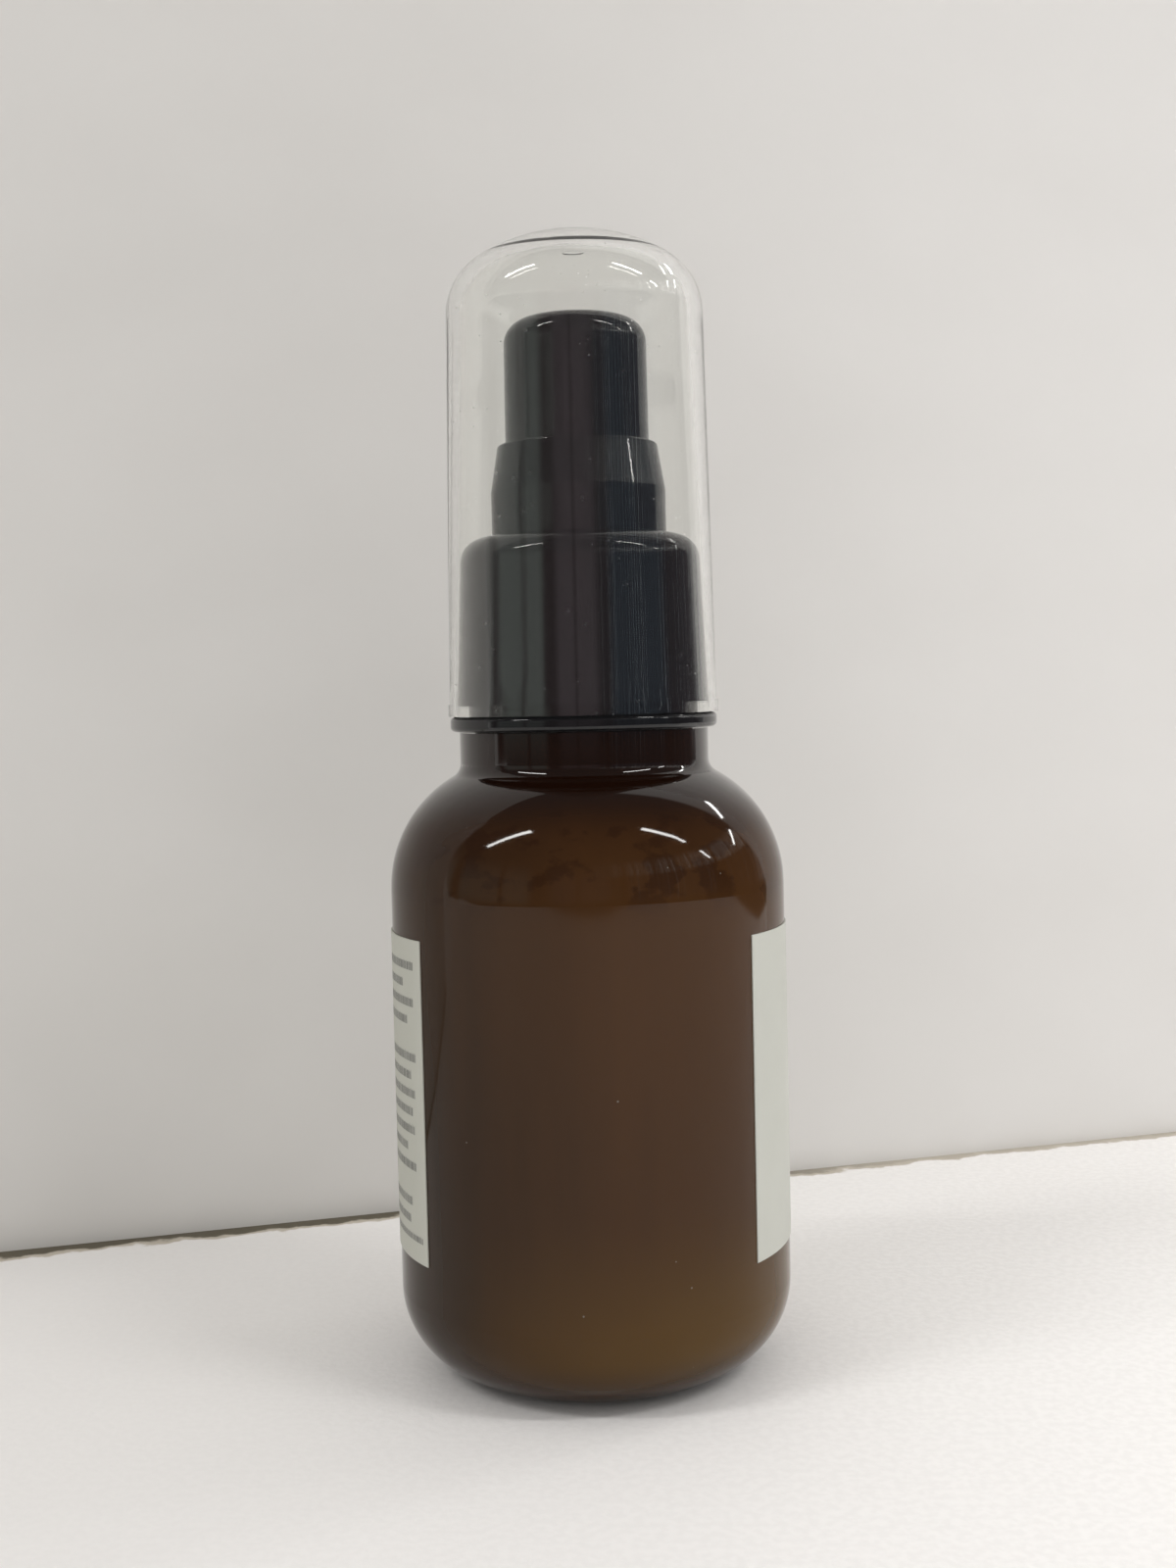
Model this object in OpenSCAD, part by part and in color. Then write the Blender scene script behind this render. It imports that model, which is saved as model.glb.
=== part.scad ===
// Pump bottle for massage oil: a round plastic bottle with a wrap label, a screw closure that
// clamps a lotion pump on the neck, and a clear overcap that stands on the closure's flange.
// The origin is the centre of the base, +Z is up, and the spout and the label face -Y.

/* [Bottle] */
// Outer diameter of the body
bottle_d = 40; // [36:0.5:48]
// Height at which the shoulder starts to turn in
body_h = 49; // [44:0.5:70]
// Radius of the rounded shoulder
shoulder_round = 13; // [11:0.25:15]
// Radius of the rounded heel
heel_round = 8.6; // [5:0.2:11]
// Width of the flat ring that the bottle stands on
foot_w = 1.4; // [0.8:0.1:3]
// Height of the hollow under the base
base_rise = 1.6; // [0.8:0.1:2.4]
// Thickness of the bottle's wall
bottle_wall = 1; // [0.7:0.1:1.5]
// Height of the straight boss between the shoulder and the neck
boss_h = 4; // [2:0.1:6]
// How far the boss stands inside the edge of the closure's flange
boss_in = 0.9; // [0.6:0.1:1.4]
// Radius of the hollow blend between the shoulder and the boss
boss_blend = 1.5; // [0.5:0.1:2.5]

/* [Neck] */
// Diameter over the neck's thread
thread_d = 20; // [18:0.5:22]
// Height of the thread ridge on the neck
thread_h = 0.8; // [0.5:0.1:1]
// Height of the neck above the boss
neck_h = 14; // [11:0.5:17]
// Thickness of the neck's wall under the thread
neck_wall = 1.8; // [1.4:0.1:2.2]

/* [Label and contents] */
// Height of the label's lower edge
label_low = 13.2; // [11:0.2:20]
// Distance from the label's upper edge up to the start of the shoulder
label_drop = 4; // [1:0.5:8]
// Angle that the label wraps round the body
label_arc = 255; // [90:5:350]
// Thickness of the label
label_t = 0.12; // [0.08:0.01:0.3]
// Distance from the oil's surface up to the start of the shoulder
oil_drop = 2; // [1:0.5:20]

/* [Closure] */
// Thickness of the outer shell's skirt at its foot
shell_wall = 1.75; // [1.5:0.05:2]
// Thickness of the outer shell's top
shell_top = 1.2; // [0.8:0.1:2]
// Draft of the skirt, in degrees
closure_draft = 2.4; // [1.8:0.1:2.6]
// Radius of the edge round the closure's top
closure_round = 2.6; // [1.6:0.1:3]
// Thickness of the round-edged flange at the closure's foot
flange_t = 1.5; // [1:0.1:2.5]
// How far the flange stands out from the skirt
flange_out = 0.7; // [0.5:0.1:1.2]
// Height of the groove between the flange and the skirt
groove_h = 1.1; // [0.6:0.1:1.6]
// Depth of that groove
groove_d = 1.2; // [0.6:0.1:1.2]
// Thickness of the threaded insert's wall
insert_wall = 0.6; // [0.5:0.05:0.9]
// Thickness of the insert's web, which clamps the pump
web_t = 1.2; // [0.8:0.1:2]
// Air space between the insert's web and the shell's top
crown_space = 0.6; // [0.5:0.1:4]
// Number of ribs that key the insert into the shell
key_count = 12; // [6:1:24]

/* [Pump] */
// Travel of the head
stroke = 5; // [3:0.25:7]
// Diameter of the cylinder's bore
bore_d = 7; // [6.6:0.1:8]
// Thickness of the cylinder's wall
barrel_wall = 1; // [0.8:0.1:1.4]
// Thickness of the gasket on the bottle's lip
gasket_t = 1.2; // [0.6:0.1:2]
// Thickness of the housing's flange
seat_flange_t = 1.2; // [0.8:0.1:2]
// Outer diameter of the stem
stem_d = 4.2; // [3.8:0.1:4.5]
// Bore of the stem
stem_bore = 2.6; // [2.2:0.1:2.8]
// Length of the stem guide, from its top face to the end of its sleeve
guide_len = 15; // [13:0.5:20]
// Height of the piston
piston_h = 4.4; // [3.5:0.1:6]
// Play of the piston between its seat and the stem, which opens the outlet
piston_slip = 0.8; // [0.4:0.1:1.2]
// Diameter of the spring's wire
wire_d = 0.55; // [0.4:0.05:0.7]
// Turns of the spring, with its two closed ends
spring_turns = 5; // [4:1:7]
// Diameter of the inlet ball
ball_d = 3; // [2.5:0.1:3.4]
// Lift of the inlet ball
ball_lift = 1; // [0.5:0.1:1.5]
// Outer diameter of the dip tube
tube_d = 2.6; // [2.2:0.1:3]
// Thickness of the dip tube's wall
tube_wall = 0.45; // [0.3:0.05:0.6]
// Length of dip tube held in the housing's socket
socket_len = 7; // [4:0.5:10]

/* [Guide collar] */
// Thickness of the collar's wall at its foot
collar_wall = 1.3; // [1:0.05:1.8]
// Thickness of the collar's wall at its top
collar_rim = 0.6; // [0.5:0.05:0.9]
// Height of the straight part of the collar, below its taper
collar_straight = 4.5; // [2:0.1:6]
// Thickness of the collar's floor
collar_floor = 1.8; // [1.6:0.1:2.5]

/* [Head] */
// Diameter of the head at its foot
head_d = 14.6; // [13.6:0.1:15]
// Draft of the head's side, in degrees
head_draft = 0.4; // [0.2:0.1:1.2]
// Thickness of the head's wall
head_wall = 0.9; // [0.7:0.05:1.2]
// Radius of the edge round the head's top
head_round = 2.4; // [1.4:0.1:2.6]
// Depth of the finger dish in the head's top
dish_depth = 0.4; // [0.2:0.05:0.6]
// Outer diameter of the spout
spout_d = 4; // [3.2:0.1:4.6]
// Height from the spout's upper side to the head's top
spout_cover = 2.4; // [2.2:0.1:4]
// How far the head's skirt reaches into the collar at rest
skirt_in = 1.9; // [1.5:0.1:3.5]
// Bore of the spout's orifice
orifice_d = 1; // [0.6:0.1:1.4]

/* [Overcap] */
// Thickness of the overcap's wall at its rim
cap_wall = 0.65; // [0.5:0.05:1]
// Thickness of the overcap's top
cap_top = 1.3; // [1:0.1:2]
// Draft of the outside, in degrees
cap_draft = 0.94; // [0.4:0.02:1.2]
// Draft of the inside, in degrees
cap_draft_in = 2.1; // [1.6:0.05:2.4]
// Radius of the overcap's shoulder
cap_round = 6.5; // [4:0.25:8]
// Radius of the overcap's crown
cap_crown = 19; // [17:0.5:40]
// Clear height between the head and the inside of the overcap
head_room = 7.4; // [4:0.2:12]
// Number of ribs inside the rim that grip the closure
grip_count = 6; // [3:1:12]

/* [Hidden] */
$fn = 96;
eps = 0.01;

// Clearances
run_gap = 0.03; // round parts that run in each other
turn_gap = 0.1; // faces that turn on each other
loose_gap = 0.3; // parts that pass without touching
thread_gap = 0.25; // inner thread wall to the neck's thread
head_gap = 0.25; // head to the collar's bore
cap_gap = 0.1; // overcap to the closure's skirt
grip_gap = 0.04; // grip ribs to the closure's skirt
over_travel = 0.4; // head's skirt to the collar's floor with the head fully down
spout_gap = 1.1; // spout to the collar's rim with the head fully down
tip_gap = 0.7; // tip of the spout to the overcap
tube_foot = 0.6; // dip tube to the floor of the bottle

// Radii of the neck and the closure
bottle_r = bottle_d / 2;
thread_r = thread_d / 2;
neck_r = thread_r - thread_h;
mouth_r = neck_r - neck_wall;
insert_r = thread_r + thread_gap;
insert_out = insert_r + insert_wall;
key_h = 0.25;
shell_r = insert_out + key_h;
closure_r = shell_r + shell_wall;
flange_r = closure_r + flange_out;
boss_r = flange_r - boss_in;

// Profile of the bottle
shoulder_x = bottle_r - shoulder_round;
heel_x = bottle_r - heel_round;
foot_x = heel_x - foot_w;
base_ball = (foot_x * foot_x + base_rise * base_rise) / (2 * base_rise);
blend_x = boss_r + boss_blend;
blend_z = body_h + sqrt(pow(shoulder_round + boss_blend, 2) - pow(blend_x - shoulder_x, 2));
oil_z = body_h - oil_drop;

// Heights, from the bottle's boss up to the top of the overcap
boss_top = body_h + sqrt(pow(shoulder_round, 2) - pow(boss_r - shoulder_x, 2)) + boss_h;
lip_z = boss_top + neck_h;
gasket_top = lip_z + gasket_t;
seat_top = gasket_top + seat_flange_t;
web_z = seat_top + turn_gap;
web_top = web_z + web_t;
closure_z = boss_top + turn_gap;
shell_z = web_top + crown_space;
shell_top_z = shell_z + shell_top;
collar_z = shell_top_z + turn_gap;
floor_z = collar_z + collar_floor;
skirt_z = floor_z + over_travel + stroke;
collar_top = skirt_z + skirt_in;
spout_z = collar_top + stroke + spout_gap + spout_d / 2;
head_top = spout_z + spout_d / 2 + spout_cover;
cap_z = closure_z + flange_t + turn_gap / 2;
cap_in_top = head_top + head_room;
cap_top_z = cap_in_top + cap_top;

// Pump: radii
bore_r = bore_d / 2;
barrel_r = bore_r + barrel_wall;
hub_wall = 2.1;
hub_r = bore_r + hub_wall;
pump_flange_r = neck_r - 0.6;
gasket_r = neck_r - 0.3;
stem_r = stem_d / 2;
stem_in = stem_bore / 2;
sleeve_wall = 0.55;
sleeve_in = bore_r - sleeve_wall;
stem_foot_r = sleeve_in - turn_gap;
rod_r = stem_in - 0.2;
port_r = stem_in + 0.45;
spring_r = bore_r - 1;
wire_r = wire_d / 2;
ball_r = ball_d / 2;
chamber_r = ball_r + 0.55;
inlet_r = 0.6 * ball_r;
keep_r = ball_r - 0.3;
tube_r = tube_d / 2;
socket_r = tube_r + barrel_wall;

// Pump: heights, from the guide's sleeve down to the dip tube
guide_cap = 0.8;
hub_top = floor_z - guide_cap;
guide_roof = 1.2;
seal_h = 1.2;
snap_t = 0.5;
snap_h = 0.25;
sleeve_z = floor_z - guide_len;
vent_up = 4;
vent_r = 0.4;
piston_top = sleeve_z - turn_gap;
piston_z = piston_top - piston_h;
seat_t = 0.8;
rod_seat = piston_z - turn_gap / 2;
rod_seat_z = rod_seat - seat_t;
stem_z = piston_top + piston_slip + turn_gap / 2;
stem_drop = 3.4;
stem_top = spout_z - stem_drop;
spring_solid = (spring_turns + 1) * wire_d;
spring_z = rod_seat_z - stroke - spring_solid - turn_gap;
keep_t = 0.8;
chamber_top = spring_z - keep_t;
ball_gap = 0.25;
ball_rise = ball_r * sqrt(2) - inlet_r + run_gap;
inlet_z = chamber_top - ball_lift - ball_gap - ball_r - ball_rise;
inlet_floor = 0.8;
socket_top = inlet_z - inlet_floor;
socket_z = socket_top - socket_len;
tube_z = base_rise + bottle_wall + tube_foot;

// Head: radii
head_r = head_d / 2;
collar_bore = head_r + head_gap;
core_r = stem_r + 1.2;
core_fit = head_r - head_wall - 0.15;
core_z = skirt_z + 0.6;
head_roof = 1.3;
roof_z = head_top - head_roof;
spout_r = spout_d / 2;
channel_r = spout_r - 0.8;
cap_rim_in = closure_r + cap_gap;
tip_y = cap_rim_in - (spout_z - cap_z) * tan(cap_draft_in) - tip_gap;
tip_len = 2.2;
plug_len = 2;

// Half of a round block's outline: a drafted side from (r, low) up to a rounded top edge.
module drafted_outline(r, low, high, draft, edge) {
    edge_z = high - edge;
    edge_x = r - (edge_z - low) * tan(draft) - edge / cos(draft);
    polygon([[0, low], [r, low], [edge_x + edge * cos(draft), edge_z + edge * sin(draft)],
        [edge_x, high], [0, high]]);
    translate([edge_x, edge_z]) circle(edge);
}

// Half of a domed outline: a drafted side, a shoulder of radius edge and a crown that meets it.
module domed_outline(r, low, high, draft, edge, crown) {
    slope = tan(draft);
    crown_z = high - crown;
    side = r + low * slope - edge / cos(draft);
    reach = crown - edge;
    mid = side * slope + crown_z;
    square_sum = side * side + crown_z * crown_z - reach * reach;
    edge_z = (mid + sqrt(mid * mid - (1 + slope * slope) * square_sum)) / (1 + slope * slope);
    edge_x = side - edge_z * slope;
    meet_x = edge_x * crown / reach;
    meet_z = crown_z + (edge_z - crown_z) * crown / reach;
    polygon([[0, low], [r, low], [edge_x + edge * cos(draft), edge_z + edge * sin(draft)],
        [edge_x, edge_z], [meet_x, meet_z], [0, meet_z]]);
    intersection() {
        translate([edge_x, edge_z]) circle(edge);
        translate([0, low]) square([r, high - low]);
    }
    intersection() {
        translate([0, crown_z]) circle(crown);
        translate([0, meet_z - eps]) square([meet_x, high - meet_z + 1]);
    }
}

// Half of the bottle's outline below the neck, set in by t from the outer surface.
module bottle_outline(t) {
    blend_share = (shoulder_round - t) / (shoulder_round + boss_blend);
    blend_foot_x = shoulder_x + (blend_x - shoulder_x) * blend_share;
    difference() {
        intersection() {
            square([bottle_r - t, boss_top - t]);
            union() {
                translate([0, heel_round]) square([bottle_r - t, body_h - heel_round]);
                translate([0, t]) square([heel_x, heel_round]);
                translate([heel_x, heel_round]) circle(heel_round - t);
                translate([shoulder_x, body_h]) circle(shoulder_round - t);
                translate([0, body_h]) square([shoulder_x, shoulder_round - t]);
                translate([0, body_h]) square([boss_r - t, boss_top - t - body_h]);
                difference() {
                    translate([0, body_h]) square([blend_foot_x, blend_z - body_h]);
                    translate([blend_x, blend_z]) circle(boss_blend + t);
                }
            }
        }
        translate([0, base_rise - base_ball]) circle(base_ball + t);
    }
}

// The blown body with its hollow base, its boss and its plain neck.
module bottle() {
    color([0.20, 0.10, 0.05]) rotate_extrude() difference() {
        union() {
            bottle_outline(0);
            translate([0, body_h]) square([neck_r, lip_z - body_h]);
        }
        bottle_outline(bottle_wall);
        translate([0, body_h]) square([mouth_r, lip_z - body_h + 1]);
    }
}

// One paper label, which leaves a gap at the back.
module label() {
    color([0.90, 0.91, 0.87]) rotate([0, 0, 270 - label_arc / 2])
        rotate_extrude(angle = label_arc) translate([bottle_r, label_low])
            square([label_t, body_h - label_drop - label_low]);
}

// The oil, with room for the dip tube and for the housing's socket.
module oil_fill() {
    color([0.45, 0.27, 0.10]) rotate_extrude() difference() {
        intersection() {
            bottle_outline(bottle_wall);
            square([bottle_r, oil_z]);
        }
        square([tube_r + loose_gap, oil_z + 1]);
        translate([0, socket_z - loose_gap])
            square([socket_r + loose_gap, max(oil_z - socket_z, 0) + 1]);
    }
}

// Flat washer between the bottle's lip and the housing's flange.
module neck_gasket() {
    color([0.92, 0.92, 0.90]) rotate_extrude() translate([barrel_r + turn_gap, lip_z])
        square([gasket_r - barrel_r - turn_gap, gasket_t]);
}

// Ring that snaps the guide collar onto the housing's hub.
module snap_ring() {
    translate([hub_r - eps, collar_z + snap_h]) square([snap_h + eps, snap_t]);
}

// Small hole that lets air into the bottle behind the piston.
module vent_hole() {
    translate([0, 0, sleeve_z + vent_up]) rotate([0, 90, 0]) cylinder(r = vent_r, h = barrel_r + 1);
}

// Cylinder of the pump: hub, flange, bore, spring seat, ball chamber and tube socket.
module pump_housing() {
    chamber_out = chamber_r + barrel_wall;
    cone_h = 1;
    color([0.86, 0.87, 0.86]) difference() {
        rotate_extrude() difference() {
            union() {
                polygon([[0, socket_z], [socket_r, socket_z], [socket_r, inlet_z - cone_h],
                    [chamber_out, inlet_z], [chamber_out, chamber_top - cone_h],
                    [barrel_r, chamber_top], [barrel_r, gasket_top], [0, gasket_top]]);
                translate([0, gasket_top]) square([pump_flange_r, seat_flange_t]);
                translate([0, seat_top]) square([hub_r, hub_top - seat_top]);
                snap_ring();
            }
            translate([0, spring_z]) square([bore_r, hub_top - spring_z + 1]);
            translate([0, inlet_z]) square([keep_r, spring_z - inlet_z + eps]);
            polygon([[0, inlet_z], [inlet_r, inlet_z], [chamber_r, inlet_z + chamber_r - inlet_r],
                [chamber_r, chamber_top], [0, chamber_top]]);
            translate([0, socket_z]) square([inlet_r, inlet_z - socket_z + eps]);
            translate([0, socket_z - 1]) square([tube_r, socket_len + 1]);
        }
        vent_hole();
    }
}

// Cap and sleeve that close the cylinder, guide the stem and stop the piston.
module stem_guide() {
    color([0.80, 0.82, 0.82]) difference() {
        rotate_extrude() difference() {
            union() {
                translate([0, hub_top]) square([hub_r, floor_z - hub_top]);
                translate([0, sleeve_z]) square([bore_r, floor_z - sleeve_z]);
            }
            translate([0, sleeve_z - 1]) square([sleeve_in, guide_len + 1 - guide_roof]);
            square([stem_r + 2 * run_gap, floor_z + 1]);
        }
        vent_hole();
    }
}

// Soft ring under the guide's cap that wipes the stem.
module stem_seal() {
    color([0.25, 0.25, 0.26]) rotate_extrude()
        translate([stem_r + run_gap, floor_z - guide_roof - seal_h])
            square([sleeve_in - stem_r - run_gap, seal_h]);
}

// Black collar above the closure, which the head dips into.
module guide_collar() {
    foot = collar_bore + collar_wall;
    rim = collar_bore + collar_rim;
    edge = collar_rim / 2;
    color([0.06, 0.06, 0.07]) rotate_extrude() difference() {
        union() {
            polygon([[0, collar_z], [foot, collar_z], [foot, collar_z + collar_straight],
                [rim, collar_top - edge], [rim - edge, collar_top], [0, collar_top]]);
            translate([rim - edge, collar_top - edge]) circle(edge);
        }
        translate([0, floor_z]) square([collar_bore, collar_top]);
        square([hub_r, floor_z + 1]);
        snap_ring();
    }
}

// Straight tube with a slanted foot, pressed into the housing's socket.
module dip_tube() {
    color([0.93, 0.94, 0.93]) difference() {
        translate([0, 0, tube_z]) cylinder(r = tube_r, h = socket_top - tube_z);
        translate([0, 0, tube_z - 1]) cylinder(r = tube_r - tube_wall, h = socket_top);
        translate([-tube_r, 0, tube_z]) rotate([0, 30, 0]) translate([0, -tube_d, -2 * tube_d])
            cube([2 * tube_d, 2 * tube_d, 2 * tube_d]);
    }
}

// Steel ball on its conical seat.
module inlet_ball() {
    color([0.75, 0.76, 0.78]) translate([0, 0, inlet_z + ball_rise]) sphere(ball_r);
}

// Height of the spring's centre line after a number of turns; both end turns are closed.
function spring_height(turn) =
    let (rise = rod_seat_z - spring_z - wire_d)
    turn < 1 ? wire_d * turn :
    turn > spring_turns - 1 ? rise - wire_d * (spring_turns - turn) :
    wire_d + (turn - 1) / (spring_turns - 2) * (rise - 2 * wire_d);

// Compression spring, swept ring by ring along its helix.
module main_spring() {
    sides = 8;
    steps = 16;
    rings = spring_turns * steps;
    points = [for (i = [0:rings], j = [0:sides - 1])
        let (a = 360 * i / steps, b = 360 * j / sides, x = spring_r + wire_r * cos(b))
        [x * cos(a), x * sin(a),
            spring_z + wire_r + spring_height(i / steps) + wire_r * sin(b)]];
    skin = [for (i = [0:rings - 1], j = [0:sides - 1])
        let (k = (j + 1) % sides, a = i * sides, b = a + sides)
        [a + j, b + j, b + k, a + k]];
    start_cap = [for (j = [0:sides - 1]) j];
    end_cap = [for (j = [sides - 1:-1:0]) rings * sides + j];
    color([0.78, 0.79, 0.80]) polyhedron(points, concat(skin, [start_cap, end_cap]), convexity = 10);
}

// Valve rod: tail in the spring, seat under the piston, fluted shank pressed into the stem.
module piston_rod() {
    tail_r = 0.95;
    tail_h = 2.4;
    shank_h = 8;
    fin_t = 0.7;
    shank_z = stem_z + 1;
    color([0.90, 0.90, 0.88]) {
        rotate_extrude() {
            translate([0, rod_seat_z - tail_h]) square([tail_r, tail_h + eps]);
            translate([0, rod_seat_z]) square([spring_r + wire_r, seat_t]);
            translate([0, rod_seat_z]) square([rod_r, shank_z + 1 - rod_seat_z]);
        }
        intersection() {
            translate([0, 0, shank_z]) cylinder(r = stem_in, h = shank_h);
            for (a = [0, 90]) rotate([0, 0, a]) translate([-stem_in, -fin_t / 2, shank_z])
                cube([stem_bore, fin_t, shank_h]);
        }
    }
}

// Piston with a wiping lip at each end.
module piston() {
    lip_r = bore_r - run_gap;
    lip_h = 0.8;
    lip_t = 0.5;
    groove = 0.5;
    waist = lip_r - lip_t;
    color([0.95, 0.95, 0.93]) rotate_extrude() difference() {
        polygon([[port_r, piston_z], [lip_r, piston_z], [lip_r, piston_z + lip_h],
            [waist, piston_z + 1.5 * lip_h], [waist, piston_top - 1.5 * lip_h],
            [lip_r, piston_top - lip_h], [lip_r, piston_top], [port_r, piston_top]]);
        for (z = [piston_z - 1, piston_top - lip_h])
            translate([waist - groove, z]) square([groove, 1 + lip_h]);
    }
}

// Hollow stem; its foot pushes the piston down.
module stem() {
    foot_h = 0.9;
    foot_cone = 0.7;
    color([0.90, 0.90, 0.88]) rotate_extrude() difference() {
        polygon([[0, stem_z], [stem_foot_r, stem_z], [stem_foot_r, stem_z + foot_h],
            [stem_r, stem_z + foot_h + foot_cone], [stem_r, stem_top], [0, stem_top]]);
        square([stem_in, stem_top + 1]);
    }
}

// Threaded inner cap with ribs that key it into the outer shell.
module closure_insert() {
    foot_up = 0.5;
    key_w = 1;
    foot_z = closure_z + foot_up;
    height = shell_z - foot_z;
    color([0.12, 0.12, 0.13]) {
        rotate_extrude() {
            translate([insert_r, foot_z]) square([insert_wall, height]);
            translate([hub_r + loose_gap, web_z]) square([insert_r - hub_r - loose_gap + eps, web_t]);
        }
        intersection() {
            translate([0, 0, foot_z]) difference() {
                cylinder(r = shell_r, h = height);
                translate([0, 0, -1]) cylinder(r = insert_out - eps, h = height + 2);
            }
            for (i = [0:key_count - 1]) rotate([0, 0, i * 360 / key_count])
                translate([insert_r, -key_w / 2, foot_z]) cube([2, key_w, height]);
        }
    }
}

// Smooth outer shell with a round-edged flange at its foot and a groove above the flange.
module closure_shell() {
    edge = flange_t / 3;
    color([0.05, 0.05, 0.06]) rotate_extrude() difference() {
        union() {
            translate([0, closure_z]) square([flange_r - edge, flange_t]);
            translate([0, closure_z + edge]) square([flange_r, edge]);
            for (z = [edge, flange_t - edge])
                translate([flange_r - edge, closure_z + z]) circle(edge);
            drafted_outline(closure_r, closure_z + edge, shell_top_z, closure_draft, closure_round);
        }
        translate([closure_r - groove_d, closure_z + flange_t]) square([groove_d + 1, groove_h]);
        square([shell_r, shell_z]);
        square([hub_r + loose_gap, shell_top_z + 1]);
    }
}

// Inner part of the head: socket for the stem, channel and spout.
module actuator_core() {
    disc_t = 0.8;
    rib_t = 0.8;
    rib_z = collar_top + 1;
    rib_x = core_r - 0.5;
    spout_len = tip_y - tip_len;
    color([0.10, 0.10, 0.11]) difference() {
        union() {
            rotate_extrude() difference() {
                union() {
                    translate([0, core_z]) square([core_r, roof_z - core_z]);
                    translate([0, roof_z - disc_t]) square([core_fit, disc_t]);
                }
                translate([0, core_z - 1]) square([stem_r + run_gap, stem_top + run_gap - core_z + 1]);
                translate([0, stem_top - 1]) square([stem_in, spout_z - stem_top + 1]);
            }
            for (i = [0:2]) rotate([0, 0, i * 90]) translate([rib_x, -rib_t / 2, rib_z])
                cube([core_fit - turn_gap - rib_x, rib_t, roof_z - rib_z - disc_t / 2]);
            translate([0, -stem_in, spout_z]) rotate([90, 0, 0])
                cylinder(r = spout_r, h = spout_len - stem_in);
        }
        translate([0, stem_in / 2, spout_z]) rotate([90, 0, 0])
            cylinder(r = channel_r, h = spout_len + stem_in);
    }
}

// Black outer shell of the head, with a finger dish and a round window for the spout.
module actuator_shell() {
    dish_edge = 0.8;
    dish_r = head_r - head_round - dish_edge;
    dish_ball = (dish_r * dish_r + dish_depth * dish_depth) / (2 * dish_depth);
    color([0.05, 0.05, 0.06]) difference() {
        rotate_extrude() difference() {
            drafted_outline(head_r, skirt_z, head_top, head_draft, head_round);
            polygon([[0, skirt_z - 1], [head_r - head_wall, skirt_z - 1],
                [core_fit, skirt_z + skirt_in], [core_fit, roof_z], [0, roof_z]]);
            translate([0, head_top - dish_depth + dish_ball]) intersection() {
                circle(dish_ball);
                translate([0, -dish_ball]) square(dish_ball);
            }
        }
        translate([0, 0, spout_z]) rotate([90, 0, 0]) cylinder(r = spout_r, h = head_r + 1);
    }
}

// Orifice piece pressed into the spout's end.
module nozzle_tip() {
    foot_r = spout_r - 0.1;
    end_r = spout_r - 0.4;
    plug_y = tip_y - tip_len - plug_len;
    color([0.05, 0.05, 0.06]) translate([0, 0, spout_z]) rotate([90, 0, 0]) difference() {
        union() {
            translate([0, 0, tip_y - tip_len]) cylinder(r1 = foot_r, r2 = end_r, h = tip_len);
            translate([0, 0, plug_y]) cylinder(r = channel_r, h = plug_len + 1);
        }
        translate([0, 0, plug_y - 1]) cylinder(r = orifice_d / 2, h = tip_y - plug_y + 2);
    }
}

// Clear dome with a thickened rim, a gate dimple on its crown and grip ribs inside the rim.
module overcap() {
    rim_h = 1.2;
    rim_out = 0.15;
    gate_r = 1.15;
    gate_depth = 0.3;
    grip_h = 3;
    grip_w = 0.6;
    grip_z = cap_z + 0.5;
    color([0.85, 0.90, 0.90, 0.4]) {
        rotate_extrude() difference() {
            union() {
                domed_outline(cap_rim_in + cap_wall, cap_z, cap_top_z, cap_draft, cap_round, cap_crown);
                translate([0, cap_z]) square([cap_rim_in + cap_wall + rim_out, rim_h]);
            }
            domed_outline(cap_rim_in, cap_z - eps, cap_in_top, cap_draft_in,
                cap_round - cap_top, cap_crown - cap_top);
            translate([0, cap_top_z - gate_depth]) square([gate_r, 1]);
        }
        intersection() {
            translate([0, 0, grip_z]) difference() {
                cylinder(r = cap_rim_in + cap_wall / 2, h = grip_h);
                translate([0, 0, -1]) cylinder(r = closure_r + grip_gap, h = grip_h + 2);
            }
            for (i = [0:grip_count - 1]) rotate([0, 0, i * 360 / grip_count])
                translate([closure_r, -grip_w / 2, grip_z]) cube([2, grip_w, grip_h]);
        }
    }
}

bottle();
label();
oil_fill();
neck_gasket();
pump_housing();
stem_guide();
stem_seal();
guide_collar();
dip_tube();
inlet_ball();
main_spring();
piston_rod();
piston();
stem();
closure_insert();
closure_shell();
actuator_core();
actuator_shell();
nozzle_tip();
overcap();
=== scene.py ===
# %% [markdown]
# # A pump bottle of massage oil
#
# The real thing is a round amber bottle with a paper label, a black screw-on lotion pump and a
# clear dome over the pump's head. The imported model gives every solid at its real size, so this
# lesson doesn't model those again. It gives each of them its finish, adds the two screw threads
# that the solids leave out, winds a spring that can shorten, and sets up the camera, the table
# and the light.

# %% Load the frame
import math

import bmesh
import bpy
from mathutils import Matrix, Vector


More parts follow.
